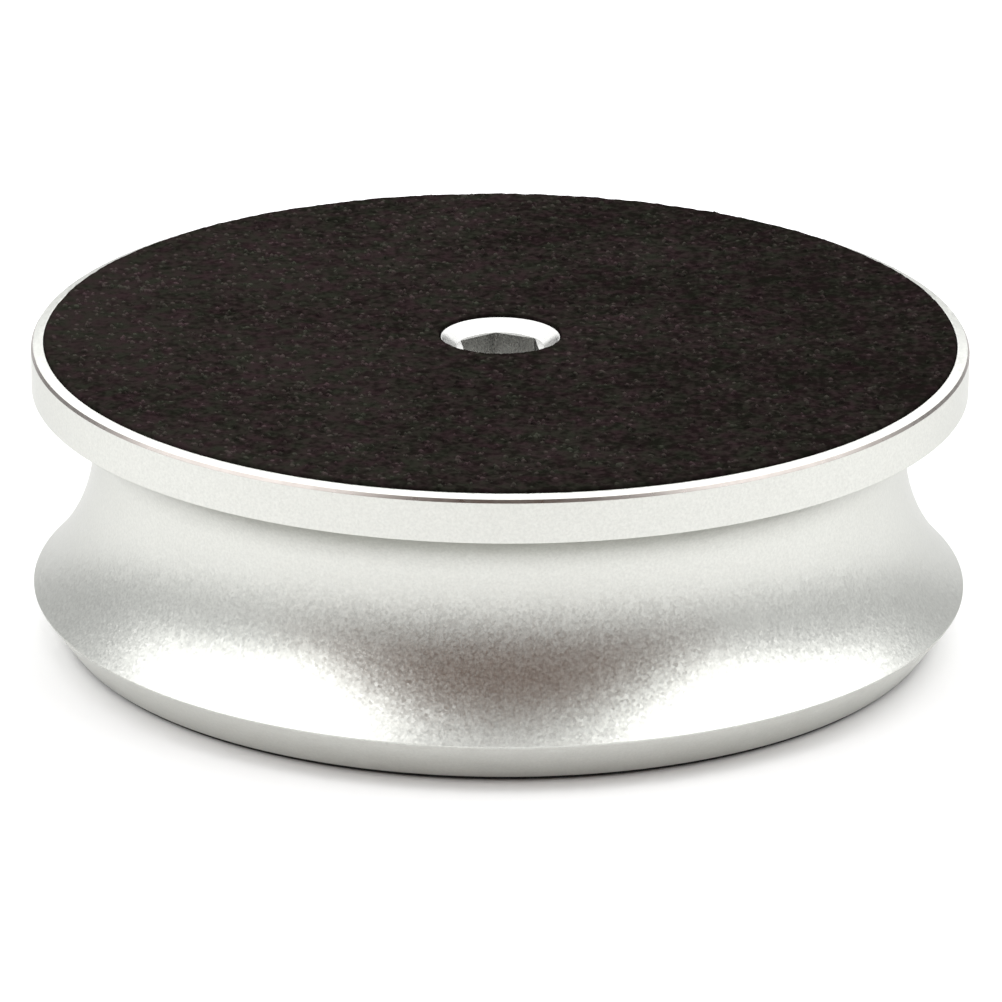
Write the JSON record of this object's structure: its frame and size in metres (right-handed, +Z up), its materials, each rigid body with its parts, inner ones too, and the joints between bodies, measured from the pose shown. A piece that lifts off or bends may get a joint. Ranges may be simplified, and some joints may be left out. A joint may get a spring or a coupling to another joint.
{
  "type": "turntable display stand",
  "caption": "Round waisted aluminium stand whose suede-faced platter turns freely on a ball bearing, for showing or working on a small model from every side.",
  "frame": {"origin": "centre of the base pad's lower face, where the stand rests on a table", "axes": "+Z up along the axis that the platter turns about; X and Y lie in the table's plane"},
  "size_m": [0.1, 0.1, 0.0326],
  "materials": {
    "satin_aluminium": "bead-blasted and clear anodised, fine satin grain",
    "machined_aluminium": "turned, bright satin",
    "suede": "near-black suede nap with fine lighter fibres",
    "foot_rubber": "matte black, fine texture",
    "adhesive_film": "thin double-sided film",
    "bearing_steel": "ground and polished",
    "shield_steel": "pressed sheet, satin",
    "zinc_steel": "zinc plated",
    "cage_nylon": "moulded natural nylon",
    "black_steel": "black oxide"
  },
  "bodies": {
    "base": {"base_body": "satin_aluminium", "bearing_outer_ring": "bearing_steel", "bearing_shield_upper": "shield_steel", "bearing_shield_lower": "shield_steel", "retaining_ring": "black_steel", "bottom_cover": "machined_aluminium", "cover_screw_1": "black_steel", "cover_screw_2": "black_steel", "cover_screw_3": "black_steel", "cover_screw_4": "black_steel", "base_pad": "foot_rubber", "base_pad_adhesive": "adhesive_film"},
    "platter": {"platter": "satin_aluminium", "pad": "suede", "pad_adhesive": "adhesive_film", "pivot_screw": "machined_aluminium", "bearing_inner_ring": "bearing_steel", "clamp_washer": "zinc_steel", "spring_washer": "zinc_steel", "lock_nut": "zinc_steel"},
    "ball_cage": {"bearing_cage": "cage_nylon", "bearing_ball_1": "bearing_steel", "bearing_ball_2": "bearing_steel", "bearing_ball_3": "bearing_steel", "bearing_ball_4": "bearing_steel", "bearing_ball_5": "bearing_steel", "bearing_ball_6": "bearing_steel", "bearing_ball_7": "bearing_steel", "bearing_ball_8": "bearing_steel", "bearing_ball_9": "bearing_steel", "bearing_ball_10": "bearing_steel", "bearing_ball_11": "bearing_steel"}
  },
  "joints": [
    {"name": "platter_spin", "type": "hinge", "parent": "base", "child": "platter", "pos_m": [0, 0, 0.0211], "axis": [0, 0, 1], "continuous": true},
    {"name": "cage_spin", "type": "hinge", "parent": "base", "child": "ball_cage", "pos_m": [0, 0, 0.0211], "axis": [0, 0, 1], "continuous": true}
  ],
  "couplings": [
    {"joint": "cage_spin", "follows": "platter_spin", "ratio": 0.4327}
  ]
}
